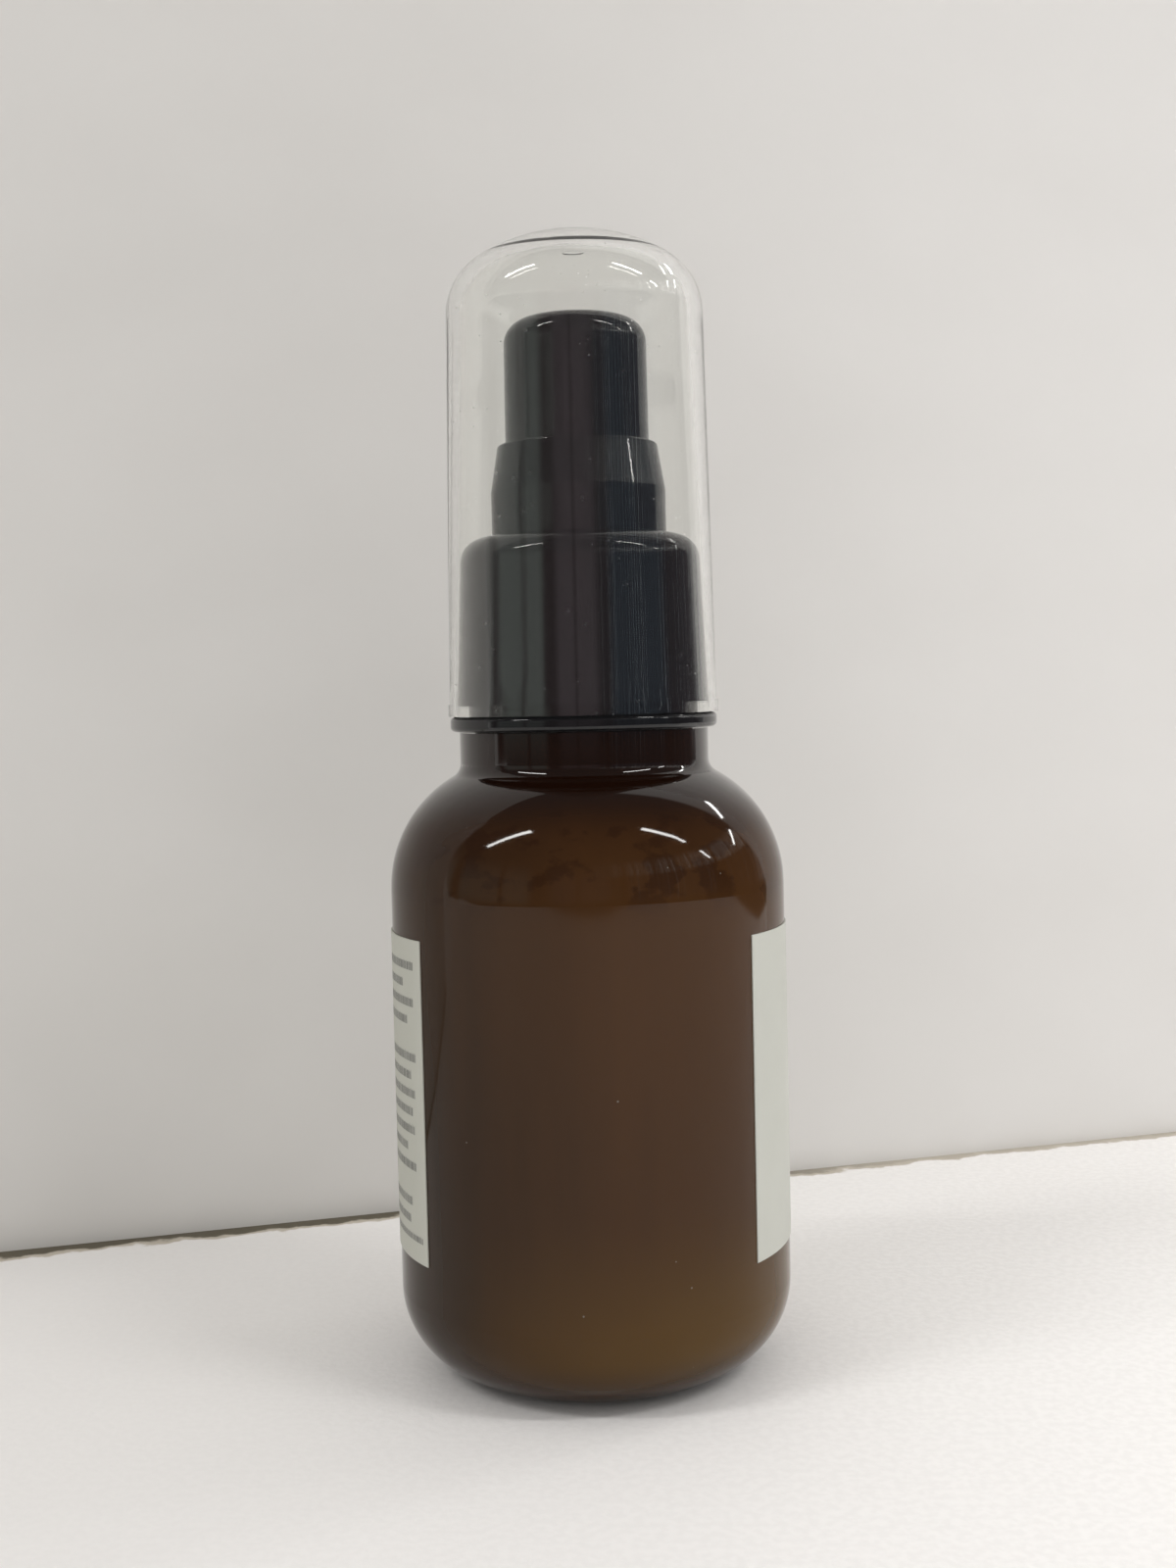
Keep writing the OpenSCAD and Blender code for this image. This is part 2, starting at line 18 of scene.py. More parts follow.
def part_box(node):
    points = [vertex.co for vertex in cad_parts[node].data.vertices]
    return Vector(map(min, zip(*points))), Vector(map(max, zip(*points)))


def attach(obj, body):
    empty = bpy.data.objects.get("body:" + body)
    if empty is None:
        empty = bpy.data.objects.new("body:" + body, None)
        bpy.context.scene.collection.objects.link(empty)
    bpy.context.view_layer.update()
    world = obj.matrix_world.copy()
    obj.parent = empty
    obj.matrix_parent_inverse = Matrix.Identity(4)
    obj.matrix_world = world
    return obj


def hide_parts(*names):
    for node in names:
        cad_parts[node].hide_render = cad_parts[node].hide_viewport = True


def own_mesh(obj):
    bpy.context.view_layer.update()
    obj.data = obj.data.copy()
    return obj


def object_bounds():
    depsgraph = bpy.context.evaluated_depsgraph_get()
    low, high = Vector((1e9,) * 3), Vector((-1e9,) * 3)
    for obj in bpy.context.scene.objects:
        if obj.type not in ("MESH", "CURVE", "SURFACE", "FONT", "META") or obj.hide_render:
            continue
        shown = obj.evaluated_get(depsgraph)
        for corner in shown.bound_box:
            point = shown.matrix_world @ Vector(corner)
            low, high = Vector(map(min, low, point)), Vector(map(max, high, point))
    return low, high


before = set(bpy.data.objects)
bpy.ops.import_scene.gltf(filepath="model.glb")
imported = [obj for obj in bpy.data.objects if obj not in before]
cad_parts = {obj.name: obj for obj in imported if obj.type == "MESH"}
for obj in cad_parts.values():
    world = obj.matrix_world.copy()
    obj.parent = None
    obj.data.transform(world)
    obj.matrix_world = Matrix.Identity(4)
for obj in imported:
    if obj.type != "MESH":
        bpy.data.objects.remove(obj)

MM = 0.001
cad_low, cad_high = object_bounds()
print("CAD nodes:", len(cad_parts))
print("CAD box in mm:", [round(v / MM, 1) for v in cad_high - cad_low])

# %% [markdown]
# ## Shader maths as plain expressions
#
# A finish is a small sum over the surface: this much amber, less where the bottle is empty, a
# few specks of dust. Wiring that by hand takes a dozen Math nodes and hides the sum. Here a
# `Wire` stands for an output socket, and each operator on it adds the Math node.


# %% Wire, a socket that can stand in a sum
class Wire:
    """An output socket that can stand in a sum; each operator adds one Math node."""

    def __init__(self, nodes, socket):
        self.nodes = nodes
        self.socket = socket

    def out(self, name):
        """Another output of the same node."""
        return Wire(self.nodes, self.socket.node.outputs[name])

    def __add__(self, other):
        return self.nodes.math("ADD", self, other)

    def __sub__(self, other):
        return self.nodes.math("SUBTRACT", self, other)

    def __rsub__(self, other):
        return self.nodes.math("SUBTRACT", other, self)

    def __mul__(self, other):
        return self.nodes.math("MULTIPLY", self, other)

    def __truediv__(self, other):
        return self.nodes.math("DIVIDE", self, other)

    def __rtruediv__(self, other):
        return self.nodes.math("DIVIDE", other, self)

    def __gt__(self, other):
        return self.nodes.math("GREATER_THAN", self, other)

    def __lt__(self, other):
        return self.nodes.math("LESS_THAN", self, other)

    __radd__ = __add__
    __rmul__ = __mul__


print("Wire is ready")

# %% [markdown]
# Every other kind of node comes from `Nodes.add`. It sets the node's settings before its
# sockets, since a setting such as a Mix node's data type can change which sockets there are. A
# socket is named, or numbered where a node has several of one name.


# %% Nodes, which fills a node tree
class Nodes:
    """Fills one node tree. add() makes a node of any kind and returns its first output."""

    def __init__(self, tree):
        self.tree = tree
        tree.nodes.clear()

    def add(self, kind, settings=None, sockets=None, output=0):
        node = self.tree.nodes.new(kind)
        for name, value in (settings or {}).items():
            if name == "stops":
                self.fill_ramp(node.color_ramp, value)
            else:
                setattr(node, name, value)
        for key, value in (sockets or {}).items():
            if isinstance(value, Wire):
                self.tree.links.new(value.socket, node.inputs[key])
            else:
                node.inputs[key].default_value = value
        return Wire(self, node.outputs[output] if node.outputs else None)

    def fill_ramp(self, ramp, stops):
        while len(ramp.elements) < len(stops):
            ramp.elements.new(1.0)
        for element, (place, colour) in zip(ramp.elements, stops):
            element.position = place
            element.color = rgba(colour)

    def math(self, operation, *values):
        return self.add("ShaderNodeMath", {"operation": operation}, dict(enumerate(values)))


def rgba(colour):
    """A colour socket also takes an alpha."""
    return (*colour, 1)


print("Nodes is ready")

# %% [markdown]
# ## The few patterns that every finish needs
#
# Moulded plastic looks real by faint things: a slow drift of tone, tiny waves, dust. All of
# them come from noise that is read at the object's own coordinates, in metres, so a grain of
# 2 mm is a pattern 2 mm across and it stays put when the part moves. `fade` is a soft threshold
# and `band` two of them, back to back.


# %% Noise, fades and colour mixes
def place_on(nodes):
    """Where a point lies on its own piece, in metres."""
    return nodes.add("ShaderNodeTexCoord").out("Object")


def noise(nodes, place, grain, detail=2.0, stretch=None):
    """Soft noise from 0 to 1 whose blobs are about one grain across, in metres."""
    if stretch:
        place = nodes.add("ShaderNodeMapping", {}, {"Vector": place, "Scale": stretch})
    sockets = {"Vector": place, "Scale": 1 / grain, "Detail": detail}
    return nodes.add("ShaderNodeTexNoise", {}, sockets)


def fade(nodes, value, start, end):
    """0 at start and 1 at end, with soft shoulders; end may be the lower one."""
    low, high = min(start, end), max(start, end)
    settings = {"interpolation_type": "SMOOTHSTEP"}
    sockets = {"Value": value, "From Min": low, "From Max": high}
    rising = nodes.add("ShaderNodeMapRange", settings, sockets)
    return rising if start < end else 1 - rising


def band(nodes, value, start, full, last, end):
    """0 up to start, 1 from full to last and 0 again from end."""
    return fade(nodes, value, start, full) * fade(nodes, value, end, last)


def mix(nodes, share, low, high):
    """A colour between two others; each is a colour or a Wire."""
    ends = [end if isinstance(end, Wire) else rgba(end) for end in (low, high)]
    sockets = {0: share, 6: ends[0], 7: ends[1]}
    return nodes.add("ShaderNodeMix", {"data_type": "RGBA"}, sockets, output=2)


def bump(nodes, height, depth):
    """A normal from a height that runs from 0 to 1; depth is its full height in metres."""
    return nodes.add("ShaderNodeBump", {}, {"Height": height, "Distance": depth, "Strength": 1.0})


def specks(nodes, place, size, share):
    """Dust: a ball of the given size in some cells of a grid, cut by the surface into dots."""
    cell = 4 * size
    grid = nodes.add("ShaderNodeTexVoronoi", {}, {"Vector": place, "Scale": 1 / cell})
    near = grid.out("Distance") < size / cell / 2
    few = nodes.add("ShaderNodeSeparateColor", {}, {"Color": grid.out("Color")}) < share
    return near * few


print("pattern helpers are ready")

# %% [markdown]
# ## One way to make every material
#
# All the solid finishes end in a Principled shader. The values that stay the same all over,
# such as the refractive index, go straight onto the shader's sockets, where an exported model
# keeps them. What changes over the surface is a Wire into colour, roughness or normal.


# %% Make and assign materials
def new_material(name, build):
    """build(nodes) returns the surface shader."""
    material = bpy.data.materials.new(name)
    material.use_nodes = True
    nodes = Nodes(material.node_tree)
    nodes.add("ShaderNodeOutputMaterial", {}, {"Surface": build(nodes)})
    return material


def principled(nodes, colour, roughness, normal=None, **constants):
    """constants are socket names with underscores for spaces."""
    sockets = {"Base Color": colour, "Roughness": roughness}
    sockets.update({name.replace("_", " "): value for name, value in constants.items()})
    if normal is not None:
        sockets["Normal"] = normal
    return nodes.add("ShaderNodeBsdfPrincipled", {}, sockets)


def dress(material, *names):
    """Puts a material on CAD nodes, which keep their meshes."""
    for name in names:
        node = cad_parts[name]
        node.data.materials.clear()
        node.data.materials.append(material)
    print(material.name, "->", ", ".join(names))


print("material helpers are ready")

# %% [markdown]
# ## The amber bottle
#
# The wall is dark amber plastic, so deep that it looks opaque, and blown, so that its faces are
# glossy with slow waves. Behind it stands cloudy oil, which sends a milky brown back through the
# wall. The empty shoulder is nearly black, with a thin film of oil clinging in patches, and the
# bare boss under the closure is the darkest and glossiest place. Near the heel, on the lit side,
# the brown is painted warmer, a painted glow for the light that comes in from the table, but the
# thick rim at the foot is dark again. A glass shader with the oil behind it would need thousands
# of samples to show the same, so the depth is painted as colour along the height. Each pair of
# places says where a fade starts and where it is full, and a band has four. The light comes from
# the side of -X and +Y, and the oil's brown is painted paler on that side, as painted light.

# %% Amber plastic
WALL_DEEP = (0.017, 0.0058, 0.0022)
NECK_DEEP = (0.0085, 0.0030, 0.0015)
OIL_SHADE = (0.019, 0.0105, 0.0050)
OIL_BROWN = (0.056, 0.0235, 0.0070)
PAINTED_HEEL_GLOW = (0.088, 0.046, 0.010)
AMBER_DUST = (0.26, 0.25, 0.22)
OIL_LEVEL, LEVEL_DRIFT = (64 * MM, 46 * MM), 6 * MM
LOWER_HALF, PAINTED_GLOW_HEIGHTS, RIM = (42 * MM, 24 * MM), (22 * MM, 4 * MM), (6.5 * MM, 1.0 * MM)
SHOULDER = (47 * MM, 51 * MM, 56 * MM, 61 * MM)
BOSS = (55 * MM, 60 * MM, 66.5 * MM, 68 * MM)
PAINTED_SHADE_TO_LIGHT = (-8 * MM, 18 * MM)


def oil_through_wall(nodes, place, height, painted_light_side):
    """The brown of the oil: streaked, a little deeper low down, and paler on the lit side as
    painted light.
    """
    streaks = noise(nodes, place, 5 * MM, detail=3.0, stretch=(1, 1, 0.12))
    pale = nodes.math("MINIMUM", 0.75 * painted_light_side + 0.5 * streaks, 1.0)
    return mix(nodes, pale - 0.12 * fade(nodes, height, *LOWER_HALF), OIL_SHADE, OIL_BROWN)


def film_gaps(nodes, place, height):
    """Where the film of oil has run off the shoulder."""
    film = noise(nodes, place, 4.5 * MM, detail=5.0, stretch=(1, 1, 1.7))
    return 0.5 * fade(nodes, film, 0.50, 0.57) * band(nodes, height, *SHOULDER)


def amber_plastic(nodes):
    place = place_on(nodes)
    axes = nodes.add("ShaderNodeSeparateXYZ", {}, {"Vector": place})
    height = axes.out("Z")
    level = height + (noise(nodes, place, 14 * MM) - 0.5) * LEVEL_DRIFT
    # Painted light: the oil's brown is paler towards -X and +Y, the side the light comes from.
    painted_light_side = fade(nodes, axes.out("Y") * 0.5 - axes.out("X") * 0.85, *PAINTED_SHADE_TO_LIGHT)
    oil = oil_through_wall(nodes, place, height, painted_light_side)
    colour = mix(nodes, fade(nodes, level, *OIL_LEVEL), WALL_DEEP, oil)
    colour = mix(nodes, film_gaps(nodes, place, height), colour, WALL_DEEP)
    boss = band(nodes, height, *BOSS)
    colour = mix(nodes, boss, colour, NECK_DEEP)
    # Painted glow: near the heel the lit side turns a warmer brown, for light from the table.
    colour = mix(nodes, fade(nodes, level, *PAINTED_GLOW_HEIGHTS) * painted_light_side, colour, PAINTED_HEEL_GLOW)
    colour = mix(nodes, fade(nodes, height, *RIM) * 0.9, colour, WALL_DEEP)
    dust = 0.6 * specks(nodes, place, 0.18 * MM, 0.012)
    colour = mix(nodes, dust, colour, AMBER_DUST)
    roughness = 0.035 + 0.04 * noise(nodes, place, 9 * MM, detail=4.0)
    waves = bump(nodes, noise(nodes, place, 7 * MM, detail=1.0), 0.012 * MM)
    return principled(
        nodes, colour, roughness, waves, IOR=1.5, Specular_IOR_Level=0.22, Coat_Weight=boss * 0.5
    )


amber = new_material("amber_plastic", amber_plastic)
dress(amber, "bottle")

# %% [markdown]
# ## Black plastic
#
# The closure, the collar and the head are moulded in one polished black. Polished tools leave
# almost no grain, so the roughness is low and only drifts a little where fingers have been.
# Short hairlines and dust break the gloss. The inner parts come from rougher tools.

# %% Polished and satin black
POLISHED_BLACK = (0.0055, 0.0055, 0.0062)
BLACK_DUST = (0.32, 0.31, 0.30)
SATIN_BLACK = (0.012, 0.012, 0.013)
SATIN_WORN = (0.02, 0.02, 0.022)


def hairlines(nodes, place, stretch):
    """Thin scratches: the crests of a noise that is drawn out in one direction."""
    ridge = noise(nodes, place, 2.5 * MM, detail=0.0, stretch=stretch) - 0.5
    line = 1 - fade(nodes, nodes.math("ABSOLUTE", ridge), 0.0, 0.006)
    return line * (noise(nodes, place, 5 * MM) > 0.6)


def polished_black(nodes):
    place = place_on(nodes)
    scratch = hairlines(nodes, place, (0.35, 1.0, 0.6))
    dust = 0.4 * specks(nodes, place, 0.11 * MM, 0.005)
    colour = mix(nodes, dust, POLISHED_BLACK, BLACK_DUST)
    uneven_share = noise(nodes, place, 6 * MM, detail=3.0)
    roughness = 0.05 + 0.04 * uneven_share + 0.12 * scratch
    waves = bump(nodes, noise(nodes, place, 5 * MM, detail=1.0), 0.004 * MM)
    return principled(nodes, colour, roughness, waves, IOR=1.49)


def satin_black(nodes):
    place = place_on(nodes)
    grain = noise(nodes, place, 0.15 * MM, detail=3.0)
    colour = mix(nodes, noise(nodes, place, 4 * MM), SATIN_BLACK, SATIN_WORN)
    return principled(nodes, colour, 0.3 + 0.2 * grain, bump(nodes, grain, 0.004 * MM), IOR=1.49)


polished = new_material("polished_black", polished_black)
dress(polished, "closure_shell", "guide_collar", "actuator_shell", "nozzle_tip")
satin = new_material("satin_black", satin_black)
dress(satin, "closure_insert", "actuator_core")

# %% [markdown]
# ## The clear overcap
#
# The dome is one clear moulding with a real wall, so a refracting shader on the solid gives the
# bright bands along its edges by itself. Its faces have the faintest waves. Lamps would cast a
# black shadow through refracting glass, because their rays aren't bent, so shadow rays pass
# straight through instead.

# %% Clear plastic
CLEAR_TINT = (0.975, 0.98, 0.965)
SHADOW_TINT = (0.9, 0.9, 0.88)


def clear_plastic(nodes):
    place = place_on(nodes)
    smear = noise(nodes, place, 8 * MM, detail=3.0)
    dust = specks(nodes, place, 0.2 * MM, 0.08)
    roughness = 0.004 + 0.012 * smear + 0.4 * dust
    waves = bump(nodes, noise(nodes, place, 9 * MM, detail=0.0), 0.006 * MM)
    glass = principled(
        nodes, rgba(CLEAR_TINT), roughness, waves, IOR=1.49, Transmission_Weight=1.0
    )
    straight = nodes.add("ShaderNodeBsdfTransparent", {}, {"Color": rgba(SHADOW_TINT)})
    to_lamp = nodes.add("ShaderNodeLightPath").out("Is Shadow Ray")
    return nodes.add("ShaderNodeMixShader", {}, {0: to_lamp, 1: glass, 2: straight})


clear = new_material("clear_plastic", clear_plastic)
dress(clear, "overcap")

# %% [markdown]
# ## The paper label
#
# The label is uncoated paper: matt, off-white, with fibres that show only close up. The end
# that carries the small print is a little darker, a painted shade on the side away from the
# light. The print is drawn as plain bars, since this bottle has no maker. The bars need to know
# where they are along the wrap, so the angle round the bottle times the radius gives a length in
# metres, and a random number for each row gives lines of different lengths.

# %% Label paper with printed bars
label_low, label_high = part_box("label")
LABEL_RADIUS = label_high.x
# The label's two ends reach farthest towards +Y, so that reach gives half the wrap's angle.
LABEL_HALF = math.pi / 2 + math.asin(label_high.y / LABEL_RADIUS)
ROW_PITCH = 1.8 * MM
BAR_HEIGHT = 0.8 * MM
PRINT_INSET, PRINT_RAGGED, PRINT_REACH = 0.8 * MM, 3.5 * MM, 15 * MM
PRINT_LOW, PRINT_HIGH = 2 * MM, 30 * MM
WORD_GRAIN, ROW_SHIFT = 0.45 * MM, 7.3
PAPER, PAPER_LIGHT = (0.52, 0.525, 0.475), (0.56, 0.565, 0.515)
PAPER_FIBRE = (0.45, 0.45, 0.42)
PAINTED_SHADE_PAPER, PAINTED_SHADE_END = (0.36, 0.36, 0.30), (12 * MM, 18 * MM)
PRINT_GREY = (0.10, 0.10, 0.095)


def printed_rows(nodes, along, up):
    """Rows of bars that start raggedly; along is measured inwards from the label's end."""
    row = nodes.math("FLOOR", up / ROW_PITCH)
    chance = nodes.add("ShaderNodeTexWhiteNoise", {"noise_dimensions": "1D"}, {"W": row})
    ragged = PRINT_INSET + chance * chance * PRINT_RAGGED
    words = nodes.add(
        "ShaderNodeTexNoise", {"noise_dimensions": "1D"},
        {"W": along / WORD_GRAIN + row * ROW_SHIFT, "Detail": 3.0},
    )
    tall = BAR_HEIGHT * (0.55 + 0.9 * words)
    in_row = nodes.math("MODULO", up, ROW_PITCH) < tall
    inside = (along > ragged) * (along < PRINT_REACH) * (up > PRINT_LOW) * (up < PRINT_HIGH)
    return in_row * inside * (words > 0.44) * (chance > 0.14)


def label_paper(nodes):
    place = place_on(nodes)
    axes = nodes.add("ShaderNodeSeparateXYZ", {}, {"Vector": place})
    angle = nodes.math("ARCTAN2", axes.out("X"), 0 - axes.out("Y"))
    from_end = LABEL_HALF * LABEL_RADIUS - angle * LABEL_RADIUS
    bars = printed_rows(nodes, from_end, axes.out("Z") - label_low.z)
    fibres = noise(nodes, place, 0.12 * MM, detail=4.0)
    tone = mix(nodes, noise(nodes, place, 6 * MM), PAPER, PAPER_LIGHT)
    tone = mix(nodes, fibres * 0.12, tone, PAPER_FIBRE)
    # Painted shade: the paper darkens towards +X, the end on the side away from the light.
    uneven_share = fade(nodes, axes.out("X"), *PAINTED_SHADE_END)
    tone = mix(nodes, uneven_share * 0.5, tone, PAINTED_SHADE_PAPER)
    tone = mix(nodes, bars * 0.85, tone, PRINT_GREY)
    return principled(nodes, tone, 0.5 + 0.2 * fibres, bump(nodes, fibres, 0.006 * MM), IOR=1.45)


dress(new_material("label_paper", label_paper), "label")

# %% [markdown]
# ## Inner plastics
#
# Unscrewing or lifting the pump brings the inner parts to light, so they are finished too. The
# housing and the guide are natural polypropylene, a waxy white that lets some light in, and the
# tube is the same in a thinner wall. The stem, rod and piston are whiter. One builder makes all
# three from a colour, a shade, a gloss and a grain.

# %% Inner plastics
WAXY, WAXY_SHADE = (0.72, 0.74, 0.72), (0.66, 0.69, 0.67)
WHITE, WHITE_SHADE = (0.8, 0.8, 0.77), (0.76, 0.75, 0.72)
TUBE_WHITE = (0.74, 0.77, 0.75)


def moulded(colour, shade, gloss, grain):
    """A builder for pale moulded plastic with a faint tool grain."""

    def build(nodes):
        place = place_on(nodes)
        fine = noise(nodes, place, grain, detail=3.0)
        tone = mix(nodes, noise(nodes, place, 3 * MM), colour, shade)
        return principled(
            nodes, tone, gloss + 0.15 * fine, bump(nodes, fine, 0.003 * MM), IOR=1.5,
            Subsurface_Weight=0.3, Subsurface_Scale=1 * MM,
        )

    return build


natural = new_material("natural_plastic", moulded(WAXY, WAXY_SHADE, 0.28, 0.2 * MM))
dress(natural, "pump_housing", "stem_guide")
white = new_material("white_plastic", moulded(WHITE, WHITE_SHADE, 0.22, 0.15 * MM))
dress(white, "stem", "piston_rod", "piston")
tube = new_material("tube_plastic", moulded(TUBE_WHITE, WAXY, 0.18, 0.6 * MM))
dress(tube, "dip_tube")

# %% [markdown]
# ## Steel, rubber, foam and oil
#
# The ball and the spring are bright drawn steel with a faint grain, and the stem's seal is black
# rubber. The gasket is a soft foam with open pores: the cells of a Voronoi pattern, pressed in
# as a bump, since modelled holes this small would never show, and painted darker in their middles
# as painted shade. The oil is cloudy. A volume would be truer but needs far more samples, so its
# light scatters just under the surface instead.

# %% Steel, rubber, foam and oil
STEEL, STEEL_SHADE = (0.62, 0.62, 0.63), (0.5, 0.5, 0.51)
RUBBER, RUBBER_GREY = (0.02, 0.02, 0.021), (0.035, 0.035, 0.036)
PAINTED_PORE_SHADE, FOAM = (0.55, 0.55, 0.52), (0.78, 0.78, 0.75)
OIL_DEEP, OIL_PALE = (0.5, 0.3, 0.11), (0.62, 0.42, 0.2)


def drawn_steel(nodes):
    place = place_on(nodes)
    draw = noise(nodes, place, 0.3 * MM, detail=3.0, stretch=(1, 1, 6))
    tone = mix(nodes, draw, STEEL, STEEL_SHADE)
    return principled(nodes, tone, 0.16 + 0.16 * draw, bump(nodes, draw, 0.001 * MM), Metallic=1.0)


def seal_rubber(nodes):
    place = place_on(nodes)
    grain = noise(nodes, place, 0.2 * MM, detail=3.0)
    tone = mix(nodes, grain, RUBBER, RUBBER_GREY)
    return principled(nodes, tone, 0.55 + 0.2 * grain, bump(nodes, grain, 0.01 * MM), IOR=1.52)


def gasket_foam(nodes):
    place = place_on(nodes)
    pores = nodes.add("ShaderNodeTexVoronoi", {}, {"Vector": place, "Scale": 1 / (0.22 * MM)})
    # Painted shade: each pore is darker towards its middle, where it is pressed in deepest.
    tone = mix(nodes, pores.out("Distance"), PAINTED_PORE_SHADE, FOAM)
    return principled(nodes, tone, 0.75, bump(nodes, pores.out("Distance"), 0.05 * MM), IOR=1.45)


def cloudy_oil(nodes):
    place = place_on(nodes)
    swirl = noise(nodes, place, 9 * MM, detail=3.0)
    tone = mix(nodes, swirl, OIL_DEEP, OIL_PALE)
    return principled(
        nodes, tone, 0.08 + 0.05 * swirl, IOR=1.46, Subsurface_Weight=0.5, Subsurface_Scale=4 * MM
    )


steel = new_material("drawn_steel", drawn_steel)
dress(steel, "inlet_ball", "main_spring")
dress(new_material("seal_rubber", seal_rubber), "stem_seal")
dress(new_material("gasket_foam", gasket_foam), "neck_gasket")
dress(new_material("cloudy_oil", cloudy_oil), "oil_fill")

# %% [markdown]
# ## The screw threads
#
# The neck carries one and a half turns of a rounded ridge, and the closure's insert the
# matching ridge inside. Both are helices, so a mesh made ring by ring along the turn is the
# simplest way: each ring is the ridge's cross-section, and its height fades in and out at the
# two ends, as a real thread runs out into the wall. The foot of each ring is sunk a little into
# the wall, so no gap shows. Half a pitch of offset lets the two ridges mesh without touching.


# %% A skin over rings of points
def skinned(name, rings):
    """A closed object over a row of rings, smooth along them and flat at both ends."""
    mesh = bmesh.new()
    loops = [[mesh.verts.new(point) for point in ring] for ring in rings]
    for a, b in zip(loops, loops[1:]):
        for k in range(len(a)):
            after = (k + 1) % len(a)
            mesh.faces.new((a[k], a[after], b[after], b[k]))
    mesh.faces.new(loops[0])
    mesh.faces.new(loops[-1])
    bmesh.ops.recalc_face_normals(mesh, faces=mesh.faces)
    data = bpy.data.meshes.new(name)
    mesh.to_mesh(data)
    mesh.free()
    for face in data.polygons:
        face.use_smooth = len(face.vertices) == 4
    piece = bpy.data.objects.new(name, data)
    bpy.context.scene.collection.objects.link(piece)
    print(name, "faces:", len(data.polygons))
    return piece


print("skinned is ready")

# %% The two ridges
PITCH, TURNS = 3.175 * MM, 1.5
STEPS_A_TURN, SECTION_POINTS = 96, 12
RUN_OUTS_A_TURN, LOWEST_SHARE = 6, 0.08
RIDGE_WIDTH, SINK = 1.3 * MM, 0.12 * MM
NECK_RADIUS, NECK_CREST = 9.2 * MM, 10 * MM
INSERT_BORE, INSERT_CREST = 10.25 * MM, 9.45 * MM
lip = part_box("neck_gasket")[0].z
thread_start = lip - 7.5 * MM


def thread_ridge(name, wall, crest, low):
    """A ridge from radius wall to radius crest, whose middle starts at the height low."""
    inward = 1 if crest < wall else -1
    rings = []
    for step in range(int(TURNS * STEPS_A_TURN) + 1):
        turn = step / STEPS_A_TURN
        run_out = min(1.0, RUN_OUTS_A_TURN * turn, RUN_OUTS_A_TURN * (TURNS - turn))
        tall = abs(crest - wall) * max(LOWEST_SHARE, math.sin(run_out * math.pi / 2))
        angle = math.tau * turn
        ring = []
        for k in range(SECTION_POINTS + 1):
            share = k / SECTION_POINTS * 2 - 1
            radius = wall + inward * (SINK - tall * (1 - share ** 4) ** 0.8)
            height = low + PITCH * turn + share * RIDGE_WIDTH / 2
            ring.append((radius * math.cos(angle), radius * math.sin(angle), height))
        rings.append(ring)
    return skinned(name, rings)


neck_ridge = thread_ridge("neck_thread", NECK_RADIUS, NECK_CREST, thread_start)
neck_ridge.data.materials.append(amber)
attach(neck_ridge, "bottle")

cap_ridge = thread_ridge("closure_thread", INSERT_BORE, INSERT_CREST, thread_start - PITCH / 2)
cap_ridge.data.materials.append(satin)
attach(cap_ridge, "closure")

# %% [markdown]
# ## The return spring
#
# The spring stands between its seat in the housing and the rod, so a press has to shorten it.
# The solid that stands for it can't shorten: it would sink through the seat. This wire, swept
# ring by ring along the same helix, can be flattened towards the rod as the head goes down,
# so its foot stays on the seat. Both end turns are closed, as on the real spring.

# %% Wind the spring
SPRING_WIRE, SPRING_TURNS = 0.55 * MM, 5
WIRE_SIDES, WIRE_STEPS = 16, 48
PRESS_STROKE = 5 * MM
spring_low, spring_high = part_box("main_spring")
spring_length = spring_high.z - spring_low.z


def coil_height(turn):
    """Height of the wire above the lower end turn; the end turns rise by one wire each."""
    rise = spring_length - SPRING_WIRE
    if turn < 1:
        return SPRING_WIRE * turn
    if turn > SPRING_TURNS - 1:
        return rise - SPRING_WIRE * (SPRING_TURNS - turn)
    return SPRING_WIRE + (turn - 1) / (SPRING_TURNS - 2) * (rise - 2 * SPRING_WIRE)


def wound_spring(name):
    wire = SPRING_WIRE / 2
    rings = []
    for step in range(SPRING_TURNS * WIRE_STEPS + 1):
        turn = step / WIRE_STEPS
        angle = math.tau * turn
        middle = spring_low.z + wire + coil_height(turn)
        ring = []
        for side in range(WIRE_SIDES):
            round_wire = math.tau * side / WIRE_SIDES
            radius = spring_high.x - wire + wire * math.cos(round_wire)
            height = middle + wire * math.sin(round_wire)
            ring.append((radius * math.cos(angle), radius * math.sin(angle), height))
        rings.append(ring)
    return skinned(name, rings)


spring = wound_spring("return_spring")
spring.data.materials.append(steel)
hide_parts("main_spring")
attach(spring, "plunger")
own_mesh(spring)
lengths = [round(v / MM, 2) for v in (spring_length, spring_length - PRESS_STROKE)]
print("spring at rest and pressed, in mm:", lengths)

# %% [markdown]
# ## The camera
#
# The camera stands close, a little above the shoulder of the bottle, tipped down by three
# degrees and rolled by one. Standing this close makes the perspective strong, so the
# distance matters more than the focal length. The camera looks at the label's gap, which faces
# +Y, so its position is built from three directions: towards it, to its right and up.

# %% Place the camera
AWAY, EYE_HEIGHT, SIDE_STEP = 180 * MM, 68.7 * MM, 0.3 * MM
TURN, TIP, ROLL = math.radians(1.5), math.radians(3.04), math.radians(1.34)
SENSOR_HEIGHT, FOCAL_LENGTH = 36, 40.5

towards = Vector((-math.sin(TURN), math.cos(TURN), 0))
right = Vector((-math.cos(TURN), -math.sin(TURN), 0))
up = Vector((0, 0, 1))
back = (towards * math.cos(TIP) + up * math.sin(TIP)).normalized()
level_up = back.cross(right)
across = right * math.cos(ROLL) - level_up * math.sin(ROLL)
upright = right * math.sin(ROLL) + level_up * math.cos(ROLL)
eye = towards * AWAY + right * SIDE_STEP + up * EYE_HEIGHT

